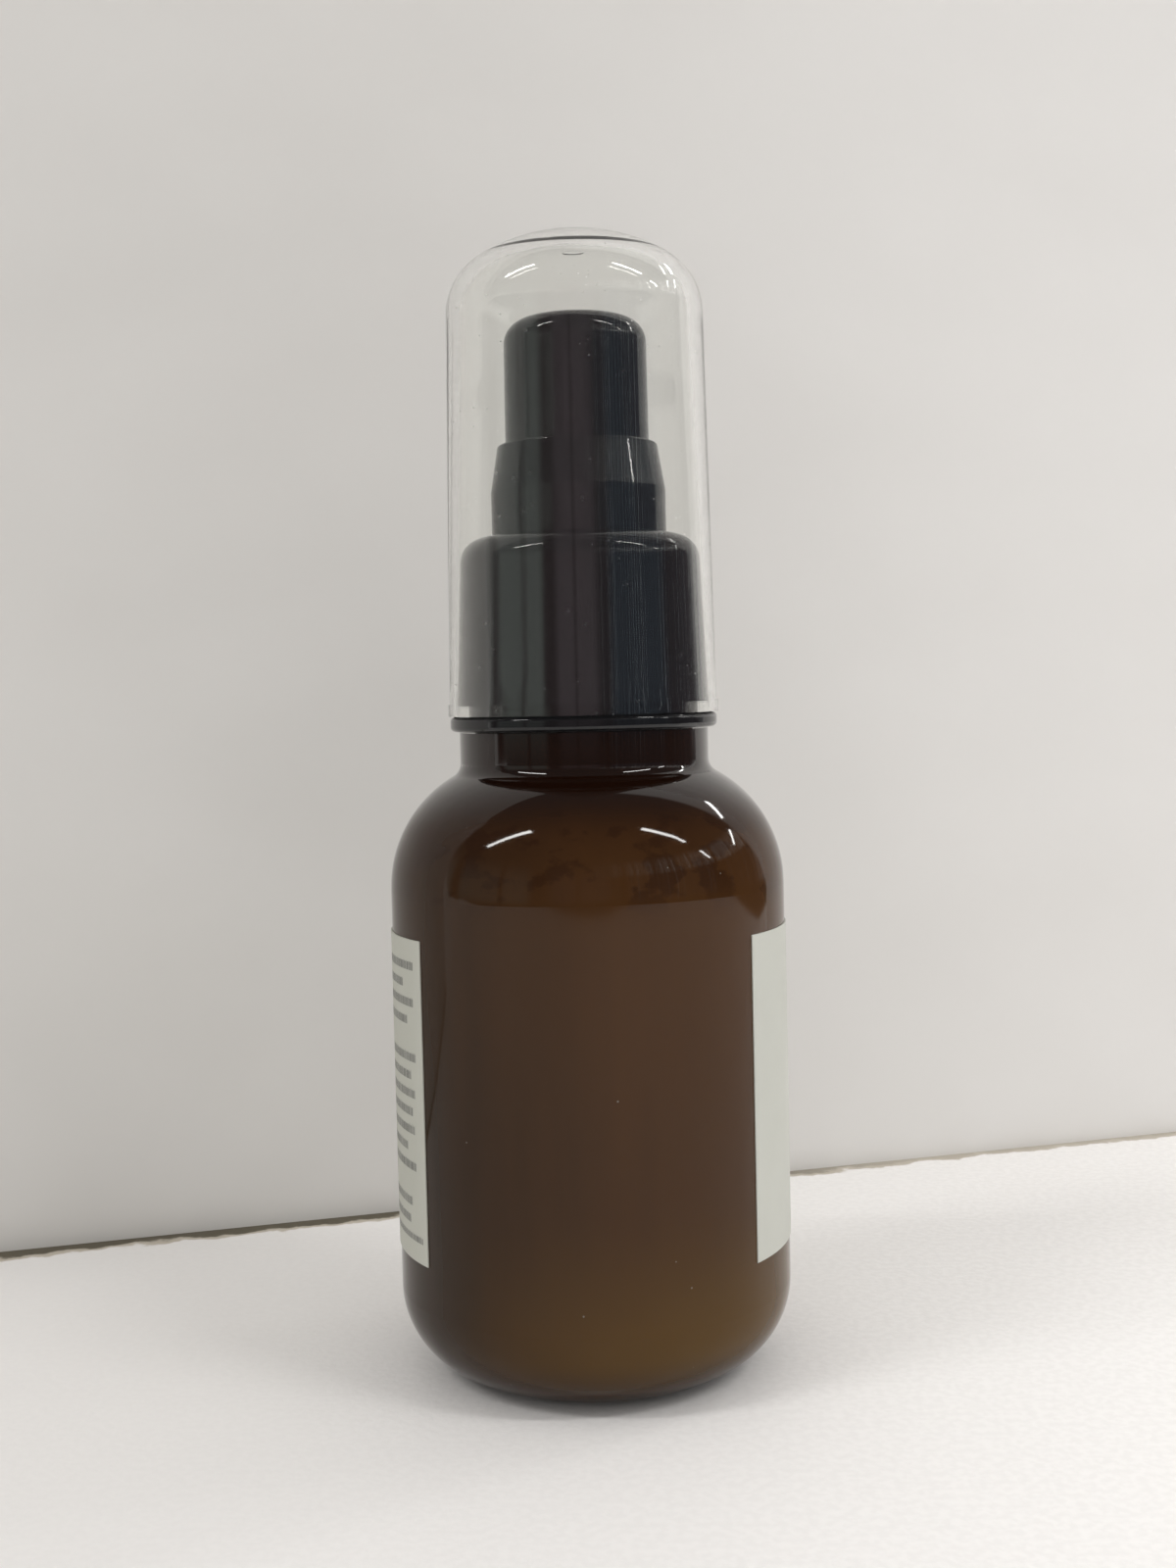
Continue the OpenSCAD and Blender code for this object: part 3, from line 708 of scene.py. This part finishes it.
camera_data = bpy.data.cameras.new("camera")
camera_data.sensor_fit = "VERTICAL"
camera_data.sensor_height = SENSOR_HEIGHT
camera_data.lens = FOCAL_LENGTH
camera_data.clip_start = 10 * MM
camera = bpy.data.objects.new("camera", camera_data)
bpy.context.scene.collection.objects.link(camera)
camera.matrix_world = Matrix((
    (across.x, upright.x, back.x, eye.x),
    (across.y, upright.y, back.y, eye.y),
    (across.z, upright.z, back.z, eye.z),
    (0, 0, 0, 1),
))
bpy.context.scene.camera = camera
print("camera at", [round(v / MM, 1) for v in eye], "mm")

# %% [markdown]
# ## The table and the board
#
# The bottle stands on a white table, which ends a forearm's length in front of it, so the
# bottle mirrors the table's edge as a level line. A pale board stands askew close behind it,
# and the dark plastic mirrors that as white bands along both sides. Both are plain sheets,
# placed by how far they lie to the camera's right and away from it.

# %% Sheets that stand round the bottle
TABLE_FRONT, TABLE_FAR = 390 * MM, 1500 * MM
TABLE_CORNER, TABLE_RIGHT, TABLE_BEND = 719 * MM, 334 * MM, 135 * MM
BOARD_LEFT, BOARD_RIGHT = -261 * MM, 183 * MM
BOARD_GAP, BOARD_SLANT = 59 * MM, 0.278
BOARD_HEIGHT = 320 * MM


def from_camera(side, depth, height):
    """A point by its distances to the camera's right, away from the camera and up."""
    return right * side - towards * depth + up * height


def sheet_of(name, corners, material, cuts):
    """A flat sheet; one with four corners can be cut into a grid."""
    mesh = bmesh.new()
    mesh.faces.new([mesh.verts.new(corner) for corner in corners])
    if cuts:
        bmesh.ops.subdivide_edges(mesh, edges=mesh.edges[:], cuts=cuts, use_grid_fill=True)
    data = bpy.data.meshes.new(name)
    mesh.to_mesh(data)
    mesh.free()
    data.materials.append(material)
    sheet = bpy.data.objects.new(name, data)
    bpy.context.scene.collection.objects.link(sheet)
    print(name, "faces:", len(data.polygons))
    return sheet


def along_line(nodes, place, direction):
    """How far a place lies along a direction."""
    dot = nodes.add("ShaderNodeVectorMath", {"operation": "DOT_PRODUCT"}, {0: place, 1: direction})
    return dot.out("Value")


print("the table's right side bends at", [round(v / MM) for v in (TABLE_RIGHT, TABLE_BEND)], "mm")

# %% [markdown]
# The table's own colour is nearly even; it is painted brighter towards the right, as painted
# light from that side. Along the foot of the board its top is torn and a dark crack runs, ragged
# and wide at the left and almost closed at the right.
# Noise that is added to the distance from the board's line makes both of them ragged at once.

# %% The table
TABLE_SHADE_PAINTED, TABLE_LIGHT_PAINTED = (0.80, 0.78, 0.76), (0.93, 0.91, 0.89)
TABLE_GRAIN = (0.78, 0.76, 0.74)
TORN_EDGE, CRACK_DARK = (0.40, 0.34, 0.25), (0.085, 0.072, 0.045)
TABLE_PAINTED_LIGHT_SPAN, SHUT_TO_OPEN = (-90 * MM, 110 * MM), (52 * MM, 4 * MM)
BOARD_FOOT, TORN_BAND, CRACK_BAND = (-5 * MM, -3 * MM), (2.6 * MM, 1.8 * MM), (1.4 * MM, 0.6 * MM)
RAGGED_BY, OPEN_BY = 5 * MM, 1.2 * MM


def table_top(nodes):
    place = place_on(nodes)
    grain = noise(nodes, place, 0.9 * MM, detail=3.0)
    side = along_line(nodes, place, right)
    depth = 0 - along_line(nodes, place, towards)
    # Painted light: the table's colour is brighter towards the camera's right.
    tone = mix(nodes, fade(nodes, side, *TABLE_PAINTED_LIGHT_SPAN), TABLE_SHADE_PAINTED, TABLE_LIGHT_PAINTED)
    tone = mix(nodes, 0.35 * fade(nodes, grain, 0.35, 0.65), tone, TABLE_GRAIN)
    ragged = noise(nodes, place, 4 * MM, detail=6.0)
    before = (BOARD_GAP + BOARD_SLANT * side) - depth
    left_end = fade(nodes, side, *SHUT_TO_OPEN)
    edge = before + (ragged - 0.5) * RAGGED_BY - left_end * OPEN_BY
    at_board = fade(nodes, before, *BOARD_FOOT) * (side > BOARD_LEFT) * (side < BOARD_RIGHT)
    torn = fade(nodes, edge, *TORN_BAND) * at_board
    tone = mix(nodes, torn * 0.75, tone, TORN_EDGE)
    crack = fade(nodes, edge, *CRACK_BAND) * at_board * (0.15 + 0.85 * left_end)
    tone = mix(nodes, crack * 0.95, tone, CRACK_DARK)
    return principled(nodes, tone, 0.55, bump(nodes, grain, 0.05 * MM), Specular_IOR_Level=0.25)


sheet_of("table", [
    from_camera(-TABLE_FAR, TABLE_FAR, 0), from_camera(-TABLE_FAR, -TABLE_FRONT, 0),
    from_camera(TABLE_CORNER, -TABLE_FRONT, 0), from_camera(TABLE_RIGHT, TABLE_BEND, 0),
    from_camera(TABLE_RIGHT, TABLE_FAR, 0),
], new_material("table_top", table_top), cuts=0)

# %% [markdown]
# The board is matt card, a little buckled, and painted brighter towards the right, as painted
# light from that side. It shows its face only: seen from behind it lets the camera through, so
# that the bottle can be looked at from all round.

# %% The board
BOARD_SHADE_PAINTED, BOARD_LIGHT_PAINTED = (0.66, 0.645, 0.62), (0.78, 0.765, 0.745)
BOARD_PATCH, BOARD_PAINTED_LIGHT_SPAN = (0.72, 0.70, 0.675), (-40 * MM, 90 * MM)


def board_face(nodes):
    place = place_on(nodes)
    buckle = noise(nodes, place, 60 * MM, detail=2.0)
    side = along_line(nodes, place, right)
    # Painted light: the board's colour is brighter towards the camera's right.
    tone = mix(nodes, fade(nodes, side, *BOARD_PAINTED_LIGHT_SPAN), BOARD_SHADE_PAINTED, BOARD_LIGHT_PAINTED)
    tone = mix(nodes, 0.4 * noise(nodes, place, 90 * MM), tone, BOARD_PATCH)
    face = principled(nodes, tone, 0.6, bump(nodes, buckle, 4 * MM), Specular_IOR_Level=0.2)
    away = nodes.add("ShaderNodeNewGeometry").out("Backfacing")
    clear_back = nodes.add("ShaderNodeBsdfTransparent")
    return nodes.add("ShaderNodeMixShader", {}, {0: away, 1: face, 2: clear_back})


board_ends = [(side, BOARD_GAP + BOARD_SLANT * side) for side in (BOARD_LEFT, BOARD_RIGHT)]
board = sheet_of("board", [
    from_camera(*board_ends[0], 0), from_camera(*board_ends[1], 0),
    from_camera(*board_ends[1], BOARD_HEIGHT), from_camera(*board_ends[0], BOARD_HEIGHT),
], new_material("board_face", board_face), cuts=8)
print("board's normal:", [round(v, 2) for v in board.data.polygons[0].normal])

# %% [markdown]
# ## Light
#
# Two rows of ceiling tubes light the room. For matt surfaces they are area lamps. Mirror rays
# don't see those lamps, since a ray that has passed through the clear cap seldom finds so thin
# a lamp, and the picture would stay full of noise. Lengths and places are in metres here.

# %% Ceiling tubes
TUBE_LENGTH, TUBE_WIDTH, CEILING = 1.11, 0.08, 1.5
TUBE_POWER = 12.0
TUBES = [(-1.32, -0.69), (1.33, -0.69), (3.28, -0.69), (1.4, 0.95), (3.1, 0.95)]


def hang_tube(name, side, depth):
    lamp = bpy.data.lights.new(name, "AREA")
    lamp.shape = "RECTANGLE"
    lamp.size, lamp.size_y = TUBE_LENGTH, TUBE_WIDTH
    lamp.energy = TUBE_POWER
    holder = bpy.data.objects.new(name, lamp)
    holder.location = from_camera(side, depth, CEILING)
    holder.rotation_euler = (0, 0, TURN)
    holder.visible_glossy = False
    holder.visible_transmission = False
    bpy.context.scene.collection.objects.link(holder)


for number, (side, depth) in enumerate(TUBES):
    hang_tube(f"tube_{number}", side, depth)
print("tubes:", len(TUBES))

# %% [markdown]
# ## The room in the reflections
#
# Mirror rays see a plain drawing of the room in the world instead of the lamps: the same tubes
# at the same places, pale walls at the left and behind, brown ahead of the bottle, and a dark
# side with more tubes far off at the right. Ahead is towards the camera. A colour ramp draws
# the walls, by degrees from ahead round to the camera's right. The turn itself is a share of
# the full circle that starts behind, and a height is that of a ray's end on a ball of radius 1.

# %% Walls round the room
GREY_SIDE, BROWN_SIDE = (0.40, 0.43, 0.40), (0.28, 0.23, 0.245)
BLUE_SIDE, DARK_GAP = (0.18, 0.22, 0.27), (0.13, 0.10, 0.10)
PALE_WALL, BEHIND_WALL = (0.75, 0.73, 0.71), (0.88, 0.865, 0.84)
STRIPE_DARK, STRIPE_BRIGHT = (0.05, 0.055, 0.07), (0.9, 0.95, 1.0)
CEILING_GREY, FLOOR_BROWN = (0.13, 0.125, 0.125), (0.10, 0.085, 0.08)
FAR_GLOW = (3.2, 3.2, 3.1)
STRIPES_ROUND, FAR_TUBES_ROUND = 90, 23
RIGHT_HAND, DARK_STRIPES, BRIGHT_STRIPES = (0.5, 0.6), (0.4, 0.6), (0.33, 0.26)
CEILING_FADE, FAR_ROW, FAR_TUBE = (0.2, 0.5), (0.27, 0.31, 0.42, 0.50), (0.22, 0.10)
ROUND_THE_ROOM = [
    (-95, PALE_WALL), (-86, GREY_SIDE), (-83, DARK_GAP), (-80, DARK_GAP), (-76, GREY_SIDE),
    (-53, GREY_SIDE), (-51, DARK_GAP), (-48, GREY_SIDE), (-36, GREY_SIDE), (-31, DARK_GAP),
    (-24, DARK_GAP), (-18, BROWN_SIDE), (-7, BROWN_SIDE), (-5, DARK_GAP), (-3, BROWN_SIDE),
    (12, BROWN_SIDE), (16, DARK_GAP), (24, DARK_GAP), (29, BLUE_SIDE), (76, BLUE_SIDE),
    (80, DARK_GAP), (114, DARK_GAP), (122, BEHIND_WALL),
]


def walls_round(nodes, turn, height):
    """Walls by the turn, with stripes and a row of far tubes at the right, up to the ceiling."""
    stops = [((degrees + 180) / 360, tone) for degrees, tone in ROUND_THE_ROOM]
    sides = nodes.add("ShaderNodeValToRGB", {"stops": stops}, {0: turn})
    along = {"W": turn * STRIPES_ROUND}
    stripes = nodes.add("ShaderNodeTexNoise", {"noise_dimensions": "1D"}, along)
    right_hand = fade(nodes, turn, *RIGHT_HAND)
    sides = mix(nodes, right_hand * fade(nodes, stripes, *DARK_STRIPES), sides, STRIPE_DARK)
    sides = mix(nodes, right_hand * fade(nodes, stripes, *BRIGHT_STRIPES), sides, STRIPE_BRIGHT)
    walls = mix(nodes, fade(nodes, height, *CEILING_FADE), sides, CEILING_GREY)
    place_in_row = nodes.math("FRACT", turn * FAR_TUBES_ROUND + 5.0 * stripes)
    in_row = right_hand * band(nodes, height, *FAR_ROW)
    return mix(nodes, in_row * fade(nodes, place_in_row, *FAR_TUBE), walls, FAR_GLOW)


print("stops round the room:", len(ROUND_THE_ROOM))

# %% [markdown]
# The wall behind starts at a line that leans forward with height at the right and back at the
# left, so the dark plastic mirrors its ends as leaning edges. The tubes are found where a
# mirror ray meets the ceiling: its direction, stretched to the ceiling's height, gives a place
# there, which is inside a tube's rectangle or not.

# %% The wall behind and the tubes
BEHIND_LEFT, LEFT_LEAN = 0.09, 0.3
BEHIND_RIGHT, RIGHT_LEAN = 0.53, 0.4
ACROSS_BACK, BEHIND_FADE, FLOOR_FADE = (-0.1, 0.1), (0.0, -0.04), (0.0, -0.06)
TUBE_GLOW = (40.0, 40.0, 39.0)
MIRROR_HEIGHT, LOWEST_RAY = cad_high.z * 0.7, 0.05


def wall_behind(nodes, aside, ahead, height):
    """1 where a mirror ray goes to the wall behind the bottle."""
    left_line = BEHIND_LEFT - LEFT_LEAN * height
    right_line = RIGHT_LEAN * height - BEHIND_RIGHT
    across_back = fade(nodes, aside, *ACROSS_BACK)
    line = left_line + across_back * (right_line - left_line)
    return fade(nodes, ahead - line, *BEHIND_FADE)


def seen_tube(nodes, beside, before, side, depth):
    """1 where a ray that meets the ceiling at (beside, before) hits a tube."""
    in_length = nodes.math("ABSOLUTE", beside - side) < TUBE_LENGTH / 2
    in_width = nodes.math("ABSOLUTE", before + depth) < TUBE_WIDTH / 2
    return in_length * in_width


def room(nodes):
    aim = nodes.add("ShaderNodeTexCoord").out("Generated")
    aside = along_line(nodes, aim, right)
    ahead = along_line(nodes, aim, towards)
    height = nodes.add("ShaderNodeSeparateXYZ", {}, {"Vector": aim}).out("Z")
    turn = nodes.math("ARCTAN2", aside, ahead) / math.tau + 0.5
    walls = walls_round(nodes, turn, height)
    drawn = mix(nodes, fade(nodes, height, *FLOOR_FADE), walls, FLOOR_BROWN)
    drawn = mix(nodes, wall_behind(nodes, aside, ahead, height), drawn, BEHIND_WALL)
    reach = (CEILING - MIRROR_HEIGHT) / nodes.math("MAXIMUM", height, LOWEST_RAY)
    beside, before = aside * reach, ahead * reach
    for side, depth in TUBES:
        drawn = mix(nodes, seen_tube(nodes, beside, before, side, depth), drawn, TUBE_GLOW)
    return drawn


print("mirror height in mm:", round(MIRROR_HEIGHT / MM, 1))

# %% [markdown]
# The world answers each kind of ray in its own way. Mirror rays get the drawn room, the camera
# and the clear cap look at a plain backdrop, and everything else gets an even, soft light.

# %% The world
SOFT_TONE, SOFT_LIGHT = (1, 0.99, 0.98), 0.74
BACKDROP = (0.78, 0.76, 0.745)

world = bpy.data.worlds.new("world")
world.use_nodes = True
bpy.context.scene.world = world
nodes = Nodes(world.node_tree)
soft = nodes.add("ShaderNodeBackground", {}, {"Color": rgba(SOFT_TONE), "Strength": SOFT_LIGHT})
mirrored = nodes.add("ShaderNodeBackground", {}, {"Color": room(nodes), "Strength": 1.0})
backdrop = nodes.add("ShaderNodeBackground", {}, {"Color": rgba(BACKDROP), "Strength": 1.0})
path = nodes.add("ShaderNodeLightPath")
scattered = path.out("Diffuse Depth") > 0.5
mirror = (path.out("Glossy Depth") > 0.5) * (1 - scattered)
lit = nodes.add("ShaderNodeMixShader", {}, {0: mirror, 1: soft, 2: mirrored})
seen = nodes.math("MAXIMUM", path.out("Is Camera Ray"), path.out("Is Transmission Ray"))
direct = seen * (1 - mirror) * (1 - scattered)
shown = nodes.add("ShaderNodeMixShader", {}, {0: direct, 1: lit, 2: backdrop})
nodes.add("ShaderNodeOutputWorld", {}, {"Surface": shown})
bpy.context.scene.view_settings.view_transform = "Standard"
print("world nodes:", len(world.node_tree.nodes))
